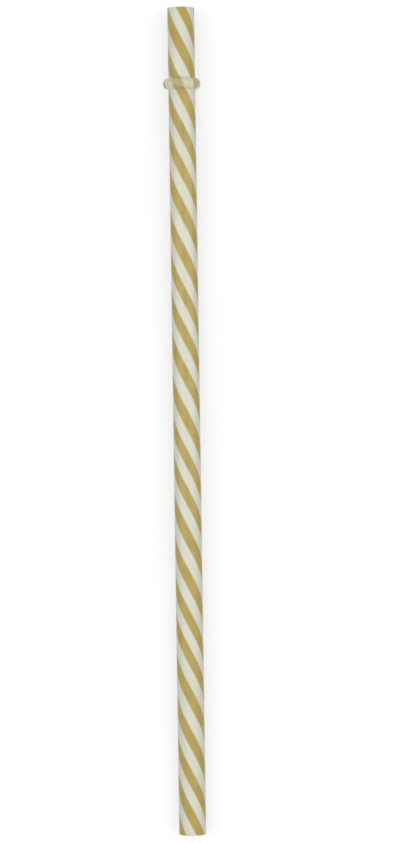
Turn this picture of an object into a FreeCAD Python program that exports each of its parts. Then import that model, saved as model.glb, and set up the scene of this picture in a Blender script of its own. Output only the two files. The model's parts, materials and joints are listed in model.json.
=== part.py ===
import FreeCAD, Part
import math
import os

# A reusable drinking straw of hard plastic: a straight extruded tube, cut square at both ends,
# with a clear bead moulded round it near its drinking end. The bead is a stop for a cup's lid, and
# it sits in a shallow seat in the tube's wall, which keeps it from sliding along the tube.
#
# Each piece is made upright, on the Z axis, with the far end of the tube at Z = 0. It is then laid
# on its side as the straw lies on a table: along Y, with the drinking end at +Y. The ring is wider
# than the tube, so the straw touches the table at the ring and at the rim of its far end, and its
# axis climbs a little towards +Y. The table is Z = 0, and the origin is the bottom centre of the
# straw's bounding box.

# Driving dimensions, in millimetres.
STRAW_LENGTH = 240.0
TUBE_DIAMETER = 7.8  # outside
TUBE_WALL = 1.0
END_ROUNDING = 0.25  # radius of the outer and inner corners of both cut ends
RING_DIAMETER = 11.0  # across the crest of the bead
RING_HEIGHT = 3.5  # along the tube, where the bead meets its outside
RING_FROM_END = 22.0  # from the drinking end to the middle of the ring
RING_SEAT_DEPTH = 0.2  # how far the ring's bore is sunk into the tube's wall

TUBE_RADIUS = TUBE_DIAMETER / 2
RING_RADIUS = RING_DIAMETER / 2
RING_BORE_RADIUS = TUBE_RADIUS - RING_SEAT_DEPTH
RING_LEVEL = STRAW_LENGTH - RING_FROM_END
RING_FOOT = RING_LEVEL - RING_HEIGHT / 2
RING_TOP = RING_LEVEL + RING_HEIGHT / 2


def straw_tube():
    """The tube: one extruded wall, its cut ends softened, with the ring's seat sunk into it."""
    outside = Part.makeCylinder(TUBE_RADIUS, STRAW_LENGTH)
    bore = Part.makeCylinder(TUBE_RADIUS - TUBE_WALL, STRAW_LENGTH)
    wall = outside.cut(bore)
    corners = [edge for edge in wall.Edges if isinstance(edge.Curve, Part.Circle)]
    return wall.makeFillet(END_ROUNDING, corners).cut(ring_seat())


def ring_seat():
    """What the ring takes out of the tube's wall: a band as high as the ring where they meet."""
    band = Part.makeCylinder(TUBE_RADIUS, RING_HEIGHT)
    core = Part.makeCylinder(RING_BORE_RADIUS, RING_HEIGHT)
    seat = band.cut(core)
    seat.translate(FreeCAD.Vector(0, 0, RING_FOOT))
    return seat


def stop_ring():
    """The ring: a bead whose arc leaves the tube's outside, with its bore down in the seat."""
    foot = FreeCAD.Vector(TUBE_RADIUS, 0, RING_FOOT)
    crest = FreeCAD.Vector(RING_RADIUS, 0, RING_LEVEL)
    top = FreeCAD.Vector(TUBE_RADIUS, 0, RING_TOP)
    seat_top = FreeCAD.Vector(RING_BORE_RADIUS, 0, RING_TOP)
    seat_foot = FreeCAD.Vector(RING_BORE_RADIUS, 0, RING_FOOT)
    outline = [
        Part.Arc(foot, crest, top),
        Part.LineSegment(top, seat_top),
        Part.LineSegment(seat_top, seat_foot),
        Part.LineSegment(seat_foot, foot),
    ]
    section = Part.Face(Part.Wire([line.toShape() for line in outline]))
    return section.revolve(FreeCAD.Vector(0, 0, 0), FreeCAD.Vector(0, 0, 1), 360)


def bead_radius():
    """Radius of the bead's arc, through its crest and the two circles where it meets the tube."""
    overhang = RING_RADIUS - TUBE_RADIUS
    return ((RING_HEIGHT / 2) ** 2 + overhang**2) / (2 * overhang)


def resting_tilt():
    """Angle, in radians, at which one plane touches both the bead and the far end's rounded rim.

    Both are arcs in the plane of the axis, and the plane is level with the bottom of each.
    """
    along = RING_LEVEL - END_ROUNDING
    across = (RING_RADIUS - bead_radius()) - (TUBE_RADIUS - END_ROUNDING)
    drop = bead_radius() - END_ROUNDING
    return math.asin(drop / math.hypot(along, across)) + math.atan2(across, along)


def laid_down(piece):
    """An upright piece turned on to its side, so that the straw rests on the plane Z = 0."""
    tilt = resting_tilt()
    rim = TUBE_RADIUS - END_ROUNDING
    axis_height = rim * math.cos(tilt) + END_ROUNDING * (1 - math.sin(tilt))
    far_end = FreeCAD.Vector(0, -STRAW_LENGTH / 2 * math.cos(tilt), axis_height)
    turn = FreeCAD.Rotation(FreeCAD.Vector(1, 0, 0), math.degrees(tilt) - 90)
    piece.Placement = FreeCAD.Placement(far_end, turn)
    return piece


PIECES = {"straw_tube": straw_tube, "stop_ring": stop_ring}

os.makedirs("parts", exist_ok=True)
for node, make in PIECES.items():
    laid_down(make()).exportStep("parts/" + node + ".step")
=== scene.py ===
import bpy
import bmesh
import json
import math
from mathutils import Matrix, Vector


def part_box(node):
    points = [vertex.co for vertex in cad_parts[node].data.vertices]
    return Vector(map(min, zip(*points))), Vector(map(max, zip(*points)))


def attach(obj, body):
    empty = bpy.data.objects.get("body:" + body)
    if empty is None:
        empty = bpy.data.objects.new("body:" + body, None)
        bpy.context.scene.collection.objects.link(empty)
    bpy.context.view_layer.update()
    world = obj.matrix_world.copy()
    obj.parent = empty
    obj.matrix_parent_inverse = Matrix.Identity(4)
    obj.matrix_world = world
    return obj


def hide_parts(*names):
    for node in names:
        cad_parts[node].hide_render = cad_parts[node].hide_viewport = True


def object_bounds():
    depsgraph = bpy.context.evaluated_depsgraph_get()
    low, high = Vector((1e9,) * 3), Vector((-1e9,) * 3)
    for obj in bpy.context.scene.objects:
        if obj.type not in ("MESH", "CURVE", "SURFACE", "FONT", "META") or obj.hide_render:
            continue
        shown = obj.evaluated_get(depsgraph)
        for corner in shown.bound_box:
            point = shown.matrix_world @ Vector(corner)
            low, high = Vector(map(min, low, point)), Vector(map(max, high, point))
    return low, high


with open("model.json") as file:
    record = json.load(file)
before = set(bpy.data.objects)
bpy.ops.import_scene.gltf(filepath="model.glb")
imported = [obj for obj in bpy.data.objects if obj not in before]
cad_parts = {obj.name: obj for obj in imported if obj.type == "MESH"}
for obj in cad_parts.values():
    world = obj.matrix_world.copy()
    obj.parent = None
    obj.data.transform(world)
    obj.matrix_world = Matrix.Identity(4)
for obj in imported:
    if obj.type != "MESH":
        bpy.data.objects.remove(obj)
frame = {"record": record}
cad_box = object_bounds()

# ---------------------------------------------------------------------------------------------
# The tube. Hard plastic, extruded through a turning die that feeds gold and off-white ribbons
# side by side, so both colours go right through the wall and wind round it to the left. It is
# sawn square at both ends, the cuts are eased, and a shallow seat near one end holds the ring.
# ---------------------------------------------------------------------------------------------
mounts = {mount["name"]: mount for mount in frame["record"]["mounts"]}
tube_middle = Vector(mounts["bore"]["pos_m"])
tube_way = Vector(mounts["bore"]["axis"])  # from the far end to the drinking end
tube_climb = math.atan2(tube_way.z, tube_way.y)
tube_radius = mounts["lid_stem"]["dims"]["r_mm"] / 1000
bore_radius = mounts["bore"]["dims"]["r_mm"] / 1000
cut_easing = 0.00025
easing_steps = 4
tube_half = mounts["bore"]["dims"]["length_mm"] / 2000 + cut_easing
tube_sides = 128


def reach_along_tube(mount, share):
    """How far along the tube, from its middle, a mount reaches: 1 is its outer end, -1 its inner."""
    end = Vector(mount["pos_m"]) + Vector(mount["axis"]) * mount["dims"]["length_mm"] / 2000 * share
    return (end - tube_middle).dot(tube_way)


seat_foot = reach_along_tube(mounts["lid_stem"], -1)
seat_top = reach_along_tube(mounts["mouth_end"], -1)
seat_depth = 0.0002
touch = 1e-6  # two places nearer than this are the same
fine_cut = 1e-7  # how near to a cutting plane a corner lies in it
round_below = math.radians(40)  # surfaces that meet at less than this look like one round surface


def drop_picks(piece):
    """The mesh of a piece that is in edit mode, with nothing selected."""
    mesh = bmesh.from_edit_mesh(piece.data)
    for part in (*mesh.verts, *mesh.edges, *mesh.faces):
        part.select_set(False)
    return mesh


def pick_faces(piece, chosen):
    """In edit mode, selects only the faces for which chosen(centre, normal) holds."""
    mesh = drop_picks(piece)
    for face in mesh.faces:
        if chosen(face.calc_center_median(), face.normal):
            face.select_set(True)
    bmesh.update_edit_mesh(piece.data)


def pick_edges(piece, chosen):
    """In edit mode, selects only the edges for which chosen(one end, other end) holds."""
    mesh = drop_picks(piece)
    for edge in mesh.edges:
        if chosen(edge.verts[0].co, edge.verts[1].co):
            edge.select_set(True)
    bmesh.update_edit_mesh(piece.data)


def lay_along_straw(piece):
    """Smooths an upright piece, made round the tube's middle, and lays it along the straw."""
    bpy.ops.object.mode_set(mode="OBJECT")
    bpy.ops.object.shade_smooth_by_angle(angle=round_below)
    piece.rotation_euler = (tube_climb - math.pi / 2, 0, 0)
    piece.location = tube_middle
    bpy.ops.object.transform_apply(location=True, rotation=True, scale=True)


def is_cut_face(centre, normal):
    return abs(centre.z) > tube_half - touch


def is_cut_corner(a, b):
    return abs(a.z - b.z) < touch and abs(a.xy.length - b.xy.length) < touch


def is_outside(centre, normal):
    return centre.xy.dot(normal.xy) > (bore_radius + tube_radius) / 2


def is_seat(centre, normal):
    return is_outside(centre, normal) and seat_foot < centre.z < seat_top


bpy.ops.object.select_all(action="DESELECT")
bpy.ops.mesh.primitive_cylinder_add(
    vertices=tube_sides, radius=tube_radius, depth=2 * tube_half, end_fill_type="NGON"
)
tube = bpy.context.object
tube.name = "striped_tube"
bpy.ops.object.mode_set(mode="EDIT")

# The bore is opened from both sawn faces, and the corners of the cuts are eased.
bpy.ops.mesh.select_mode(type="FACE")
pick_faces(tube, is_cut_face)
bpy.ops.mesh.inset(thickness=tube_radius - bore_radius)
bpy.ops.mesh.bridge_edge_loops()
bpy.ops.mesh.select_mode(type="EDGE")
pick_edges(tube, is_cut_corner)
bpy.ops.mesh.bevel(offset=cut_easing, segments=easing_steps, profile=0.5, affect="EDGES")

# The ring's seat is cut into the outside only.
bpy.ops.mesh.select_mode(type="FACE")
for level in (seat_foot, seat_top):
    pick_faces(tube, is_outside)
    bpy.ops.mesh.bisect(plane_co=(0, 0, level), plane_no=(0, 0, 1), threshold=fine_cut)
pick_faces(tube, is_seat)
bpy.ops.mesh.extrude_region_shrink_fatten(TRANSFORM_OT_shrink_fatten={"value": -seat_depth})
lay_along_straw(tube)


def finish_node(tree, kind, inputs=None, **settings):
    """A node with its settings made, and its inputs set to values or linked from sockets."""
    node = tree.nodes.new(kind)
    for name, value in settings.items():
        setattr(node, name, value)
    for name, value in (inputs or {}).items():
        if isinstance(value, bpy.types.NodeSocket):
            tree.links.new(value, node.inputs[name])
        else:
            node.inputs[name].default_value = value
    return node


def finish_math(tree, operation, *values):
    """What a Math node makes of one or two values."""
    inputs = dict(enumerate(values))
    return finish_node(tree, "ShaderNodeMath", inputs, operation=operation).outputs[0]


def finish_range(tree, value, low, high, to_low=0.0, to_high=1.0, kind="SMOOTHSTEP"):
    """A value carried from one range to another and held at its ends."""
    inputs = {"Value": value, "From Min": low, "From Max": high, "To Min": to_low, "To Max": to_high}
    node = finish_node(tree, "ShaderNodeMapRange", inputs, interpolation_type=kind)
    return node.outputs["Result"]


def finish_blend(tree, share, first, second):
    """A colour blended from two others."""
    node = tree.nodes.new("ShaderNodeMix")
    node.data_type = "RGBA"
    for name, value in (("Factor", share), ("A", first), ("B", second)):
        socket = next(s for s in node.inputs if s.enabled and s.name == name)
        if isinstance(value, bpy.types.NodeSocket):
            tree.links.new(value, socket)
        else:
            socket.default_value = value
    return next(s for s in node.outputs if s.enabled)


def finish_noise(tree, place, scale, detail, roughness=0.5):
    """A cloudy value at a place, with this many clouds to the metre."""
    inputs = {"Vector": place, "Scale": scale, "Detail": detail, "Roughness": roughness}
    return finish_node(tree, "ShaderNodeTexNoise", inputs).outputs["Fac"]


def start_finish(name):
    """A new material, with its node tree and its shader."""
    finish = bpy.data.materials.new(name)
    finish.use_nodes = True
    return finish, finish.node_tree, finish.node_tree.nodes["Principled BSDF"]


# Both pieces carry the same light scuffs from handling and washing: fine crossing scratches.
scuffs = bpy.data.node_groups.new("handling_scuffs", "ShaderNodeTree")
scuffs.interface.new_socket("Place", in_out="INPUT", socket_type="NodeSocketVector")
scuffs.interface.new_socket("Scale", in_out="INPUT", socket_type="NodeSocketFloat")
scuffs.interface.new_socket("Scratches", in_out="OUTPUT", socket_type="NodeSocketFloat")
scuffs_in = scuffs.nodes.new("NodeGroupInput").outputs
scuffs_out = scuffs.nodes.new("NodeGroupOutput").inputs
scratch_ways = (0.35, -0.6, 1.2)  # turns about the axes, in radians
scratch_stretch = (1.0, 0.06, 1.0)
scratch_start, scratch_full = 0.66, 0.74  # only the highest flecks of the noise show
scratches = None
for way in scratch_ways:
    turned = finish_node(
        scuffs, "ShaderNodeMapping", {"Vector": scuffs_in["Place"], "Rotation": (way, 0.8 * way, way)}
    ).outputs[0]
    drawn_out = finish_node(
        scuffs, "ShaderNodeMapping", {"Vector": turned, "Scale": scratch_stretch}
    ).outputs[0]
    flecks = finish_noise(scuffs, drawn_out, scuffs_in["Scale"], detail=2.0)
    lines = finish_range(scuffs, flecks, scratch_start, scratch_full)
    scratches = lines if scratches is None else finish_math(scuffs, "MAXIMUM", scratches, lines)
scuffs.links.new(scratches, scuffs_out["Scratches"])


def add_scuffs(tree, place, scale):
    """The scratches of a piece, as a value that is 1 in a scratch."""
    group = tree.nodes.new("ShaderNodeGroup")
    group.node_tree = scuffs
    tree.links.new(place, group.inputs["Place"])
    group.inputs["Scale"].default_value = scale
    return group.outputs["Scratches"]


gold = (0.42, 0.315, 0.076, 1.0)
gold_deep = (0.39, 0.285, 0.064, 1.0)
off_white = (0.625, 0.63, 0.53, 1.0)
off_white_warm = (0.615, 0.61, 0.49, 1.0)
sawn_haze = (0.66, 0.62, 0.48, 1.0)
stripe_pairs = 4.0
stripe_lead = 0.04693  # along the tube, for one whole turn
stripe_start = 0.229  # turn of the stripes at the tube's middle, in radians
haul_off_wander, wander_rate = 0.07, 26.0  # in radians, and radians to the metre
ribbon_unevenness, uneven_side = 0.066, 0.656  # in radians
border_softness = 0.36  # share of the wave, each side of the border, in which the melts smear
border_raggedness = 0.35  # in radians of the wave
die_line_scale, die_line_stretch = 2600.0, 0.03
flow_scale, mottle_scale, grain_scale = 500.0, 260.0, 9000.0
blade_scale, blade_turn, blade_stretch = 7000.0, 0.5, 0.05
cloud_low, cloud_high = 0.35, 0.65  # the colours change over this middle part of a noise
fine_low, fine_high = 0.3, 0.7  # and the roughness over this one
least_rough, most_rough = 0.24, 0.36
scuff_scale, scuff_roughness = 900.0, 0.12
sawn_paleness, sawn_roughness = 0.35, 0.3
die_line_rise, grain_rise, scuff_rise, blade_rise = 0.6, 0.12, -0.3, 4.0  # shares of the relief

plastic, tree, shader = start_finish("striped_hard_plastic")
place = finish_node(tree, "ShaderNodeTexCoord").outputs["Object"]
along_tube = finish_node(
    tree,
    "ShaderNodeMapping",
    {"Vector": place, "Location": tube_middle, "Rotation": (tube_climb, 0, 0)},
    vector_type="TEXTURE",
).outputs[0]
x, y, z = finish_node(tree, "ShaderNodeSeparateXYZ", {"Vector": along_tube}).outputs

# The stripes' turn: the angle round the tube and the lead, with the haul-off's slow wander and
# the ribbons' uneven widths.
wander = finish_math(tree, "COSINE", finish_math(tree, "MULTIPLY", y, wander_rate))
turn = finish_math(tree, "MULTIPLY", y, 2 * math.pi / stripe_lead)
turn = finish_math(tree, "ADD", turn, finish_math(tree, "ARCTAN2", x, z))
turn = finish_math(tree, "ADD", turn, finish_math(tree, "MULTIPLY", wander, haul_off_wander))
turn = finish_math(tree, "SUBTRACT", turn, stripe_start)
uneven = finish_math(tree, "COSINE", finish_math(tree, "ADD", turn, uneven_side))
turn = finish_math(tree, "ADD", turn, finish_math(tree, "MULTIPLY", uneven, ribbon_unevenness))

# The same place with the twist taken out, in which every drawn line of the wall runs straight.
reach = finish_math(
    tree,
    "SQRT",
    finish_math(tree, "ADD", finish_math(tree, "MULTIPLY", x, x), finish_math(tree, "MULTIPLY", z, z)),
)
drawn_place = finish_node(
    tree,
    "ShaderNodeCombineXYZ",
    {
        "X": finish_math(tree, "MULTIPLY", finish_math(tree, "COSINE", turn), reach),
        "Y": finish_math(tree, "MULTIPLY", finish_math(tree, "SINE", turn), reach),
        "Z": finish_math(tree, "MULTIPLY", y, die_line_stretch),
    },
).outputs[0]
die_lines = finish_noise(tree, drawn_place, die_line_scale, detail=4.0, roughness=0.6)
flow = finish_noise(tree, drawn_place, flow_scale, detail=3.0)
mottle = finish_noise(tree, place, mottle_scale, detail=3.0)
grain = finish_noise(tree, place, grain_scale, detail=2.0)

# Gold where the wave is high. The border is soft, because the two melts smear where they meet.
ragged = finish_math(tree, "MULTIPLY", finish_math(tree, "SUBTRACT", flow, 0.5), border_raggedness)
wave = finish_math(tree, "ADD", finish_math(tree, "MULTIPLY", turn, stripe_pairs), ragged)
wave = finish_math(tree, "COSINE", wave)
ribbon = finish_range(tree, wave, -border_softness, border_softness)
clouded = finish_range(tree, mottle, cloud_low, cloud_high)
gold_melt = finish_blend(tree, clouded, gold, gold_deep)
streaked = finish_range(tree, flow, cloud_low, cloud_high)
white_melt = finish_blend(tree, streaked, off_white, off_white_warm)
melts = finish_blend(tree, ribbon, white_melt, gold_melt)

# The sawn faces are paler, matt and scored across by the blade.
from_middle = finish_math(tree, "ABSOLUTE", y)
sawn_start = tube_half - 0.6 * cut_easing
sawn_full = tube_half - 0.1 * cut_easing
sawn = finish_range(tree, from_middle, sawn_start, sawn_full)
blade_place = finish_node(
    tree,
    "ShaderNodeMapping",
    {"Vector": along_tube, "Rotation": (0, blade_turn, 0), "Scale": (blade_stretch, 1.0, 1.0)},
).outputs[0]
blade_noise = finish_noise(tree, blade_place, blade_scale, detail=3.0)
blade_marks = finish_math(tree, "MULTIPLY", blade_noise, sawn)
surface = finish_blend(tree, finish_math(tree, "MULTIPLY", sawn, sawn_paleness), melts, sawn_haze)
tree.links.new(surface, shader.inputs["Base Color"])

scratches = add_scuffs(tree, along_tube, scuff_scale)
roughness = finish_range(tree, die_lines, fine_low, fine_high, least_rough, most_rough, "LINEAR")
for mark, rougher in ((scratches, scuff_roughness), (sawn, sawn_roughness)):
    roughness = finish_math(tree, "ADD", roughness, finish_math(tree, "MULTIPLY", mark, rougher))
tree.links.new(roughness, shader.inputs["Roughness"])
height = finish_math(tree, "MULTIPLY", die_lines, die_line_rise)
for mark, rise in ((grain, grain_rise), (scratches, scuff_rise), (blade_marks, blade_rise)):
    height = finish_math(tree, "ADD", height, finish_math(tree, "MULTIPLY", mark, rise))
relief = finish_node(tree, "ShaderNodeBump", {"Height": height, "Strength": 0.35, "Distance": 0.00001})
tree.links.new(relief.outputs[0], shader.inputs["Normal"])
shader.inputs["IOR"].default_value = 1.46

tube.data.materials.clear()
tube.data.materials.append(plastic)
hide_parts("straw_tube")
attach(tube, "root")

# ---------------------------------------------------------------------------------------------
# The ring. Clear plastic, moulded round the finished tube as one rounded bead, with its bore down
# in the seat. It is a little hazy, and as a thick lens it spreads the stripes that it covers.
# ---------------------------------------------------------------------------------------------
ring_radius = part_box("stop_ring")[1].x
ring_middle = (seat_foot + seat_top) / 2
half_height = (seat_top - seat_foot) / 2
overhang = ring_radius - tube_radius
bead_radius = (half_height**2 + overhang**2) / (2 * overhang)
bead_sides = 96
bite = 0.00002  # the ring's bore is this much inside the wall, so that no air lies between them


def is_bead_foot(a, b):
    return max(abs(a.x - tube_radius), abs(b.x - tube_radius)) < touch


bpy.ops.object.select_all(action="DESELECT")
bpy.ops.mesh.primitive_circle_add(
    vertices=bead_sides,
    radius=bead_radius,
    fill_type="NGON",
    location=(ring_radius - bead_radius, 0, ring_middle),
    rotation=(math.pi / 2, 0, 0),
)
ring = bpy.context.object
ring.name = "clear_stop_ring"
bpy.ops.object.transform_apply(location=True, rotation=True, scale=True)
bpy.ops.object.mode_set(mode="EDIT")
bpy.ops.mesh.select_mode(type="EDGE")
bpy.ops.mesh.select_all(action="SELECT")
bpy.ops.mesh.bisect(
    plane_co=(tube_radius, 0, 0), plane_no=(1, 0, 0), clear_inner=True, threshold=fine_cut
)

# The bead's flat side is drawn down into the seat. Then only the section's outline is kept.
pick_edges(ring, is_bead_foot)
bpy.ops.mesh.extrude_region_move(TRANSFORM_OT_translate={"value": (-seat_depth - bite, 0, 0)})
bpy.ops.transform.resize(value=(1, 1, 1 + bite / half_height), center_override=(0, 0, ring_middle))
bpy.ops.mesh.select_all(action="SELECT")
bpy.ops.mesh.delete(type="ONLY_FACE")
pick_edges(ring, is_bead_foot)
bpy.ops.mesh.delete(type="EDGE")

# The outline is spun round the tube's axis.
bpy.ops.mesh.select_all(action="SELECT")
bpy.ops.mesh.spin(steps=tube_sides, angle=2 * math.pi, center=(0, 0, 0), axis=(0, 0, 1))
bpy.ops.mesh.select_all(action="SELECT")
bpy.ops.mesh.remove_doubles(threshold=fine_cut)
bpy.ops.mesh.normals_make_consistent(inside=False)
lay_along_straw(ring)

clear_tint = (1.0, 0.99, 0.83, 1.0)
clear_tint_deep = (0.97, 0.955, 0.77, 1.0)
cloud_scale, haze_scale = 420.0, 2500.0
clear_least_rough, clear_most_rough = 0.10, 0.16
ring_scuff_scale, ring_scuff_roughness, ring_scuff_depth = 1500.0, 0.15, 0.5

clear, tree, shader = start_finish("hazy_clear_plastic")
place = finish_node(tree, "ShaderNodeTexCoord").outputs["Object"]
cloud = finish_noise(tree, place, cloud_scale, detail=4.0)
haze = finish_noise(tree, place, haze_scale, detail=3.0)
clouded = finish_range(tree, cloud, cloud_low, cloud_high)
tint = finish_blend(tree, clouded, clear_tint, clear_tint_deep)
tree.links.new(tint, shader.inputs["Base Color"])
scratches = add_scuffs(tree, place, ring_scuff_scale)
roughness = finish_math(
    tree,
    "ADD",
    finish_range(tree, haze, fine_low, fine_high, clear_least_rough, clear_most_rough, "LINEAR"),
    finish_math(tree, "MULTIPLY", scratches, ring_scuff_roughness),
)
tree.links.new(roughness, shader.inputs["Roughness"])
dents = finish_math(tree, "MULTIPLY", scratches, ring_scuff_depth)
height = finish_math(tree, "SUBTRACT", haze, dents)
relief = finish_node(tree, "ShaderNodeBump", {"Height": height, "Strength": 0.15, "Distance": 0.000002})
tree.links.new(relief.outputs[0], shader.inputs["Normal"])
shader.inputs["IOR"].default_value = 1.45
shader.inputs["Transmission Weight"].default_value = 0.86

ring.data.materials.clear()
ring.data.materials.append(clear)
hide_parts("stop_ring")
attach(ring, "root")

# ---------------------------------------------------------------------------------------------
# The floor that the straw lies on: a wide sheet of white paper. Seen by the eye it partly glows, so
# that it stays white and keeps only a faint shadow.
# ---------------------------------------------------------------------------------------------
floor_width = 30.0
paper_white = (1.0, 1.0, 1.0, 1.0)
paper_bounce = (0.12, 0.12, 0.115, 1.0)  # what it throws back up on to the straw
paper_glow = 0.6


def seen_directly(tree):
    """1 where the eye sees a surface straight on, in a gloss or through the clear ring, else 0."""
    path = finish_node(tree, "ShaderNodeLightPath").outputs
    seen = finish_math(tree, "MAXIMUM", path["Is Camera Ray"], path["Is Transmission Ray"])
    return finish_math(tree, "MAXIMUM", seen, path["Is Glossy Ray"])


bpy.ops.object.select_all(action="DESELECT")
bpy.ops.mesh.primitive_plane_add(size=floor_width, location=(0, 0, cad_box[0].z))
floor = bpy.context.object
floor.name = "floor"
paper, tree, shader = start_finish("white_paper")
tree.nodes.remove(shader)
direct = seen_directly(tree)
sheet_colour = finish_blend(tree, direct, paper_bounce, paper_white)
sheet = finish_node(tree, "ShaderNodeBsdfDiffuse", {"Color": sheet_colour}).outputs[0]
glow = finish_node(tree, "ShaderNodeEmission", {"Color": paper_white, "Strength": 1.0}).outputs[0]
glow_share = finish_math(tree, "MULTIPLY", direct, paper_glow)
lit_sheet = finish_node(tree, "ShaderNodeMixShader", {0: glow_share, 1: sheet, 2: glow}).outputs[0]
tree.links.new(lit_sheet, tree.nodes["Material Output"].inputs["Surface"])
floor.data.materials.append(paper)

# ---------------------------------------------------------------------------------------------
# The room: white to the eye, and a soft light from all over, stronger from above. A long soft
# lamp stands on each side of the straw and draws a faint line of gloss along it.
# ---------------------------------------------------------------------------------------------
light_at_floor, light_overhead = 0.5, 1.0
room_white = (1.0, 1.0, 1.0, 1.0)
room = bpy.data.worlds.new("white_room")
bpy.context.scene.world = room
room.use_nodes = True
tree = room.node_tree
way_up = finish_node(tree, "ShaderNodeTexCoord").outputs["Generated"]
way_up = finish_node(tree, "ShaderNodeSeparateXYZ", {"Vector": way_up}).outputs["Z"]
soft_light = finish_range(tree, way_up, 0.0, 1.0, light_at_floor, light_overhead, "LINEAR")
room_colour = finish_blend(tree, seen_directly(tree), soft_light, room_white)
tree.links.new(room_colour, tree.nodes["Background"].inputs["Color"])

lamp_aside, lamp_height = 0.95, 0.9
lamp_width, lamp_length = 0.5, 1.6
lamp_power = 4.5
for name, side in (("lamp_left", -1), ("lamp_right", 1)):
    lamp = bpy.data.lights.new(name, "AREA")
    lamp.shape = "RECTANGLE"
    lamp.size, lamp.size_y, lamp.energy = lamp_width, lamp_length, lamp_power
    stand = bpy.data.objects.new(name, lamp)
    stand.location = (side * lamp_aside, 0, lamp_height)
    stand.rotation_euler = (tube_middle - stand.location).to_track_quat("-Z", "Y").to_euler()
    bpy.context.scene.collection.objects.link(stand)

# ---------------------------------------------------------------------------------------------
# The camera, straight above the straw. It stands a little to the right and is turned a little, so
# the straw leans to the left at its drinking end.
# ---------------------------------------------------------------------------------------------
view_length = 0.2449  # along the straw, at the level of the tube's axis
camera_height = 0.95
camera_aside = 0.00386
camera_turn = math.radians(-0.836)

lens = bpy.data.cameras.new("camera")
lens.sensor_width = 36.0
lens.lens = lens.sensor_width * camera_height / view_length
lens.clip_end = 100.0
camera = bpy.data.objects.new("camera", lens)
across = Vector((math.cos(camera_turn), math.sin(camera_turn), 0))
camera.location = tube_middle + across * camera_aside + Vector((0, 0, camera_height))
camera.rotation_euler = (0, 0, camera_turn)
bpy.context.scene.collection.objects.link(camera)
bpy.context.scene.camera = camera
bpy.context.scene.view_settings.view_transform = "Standard"
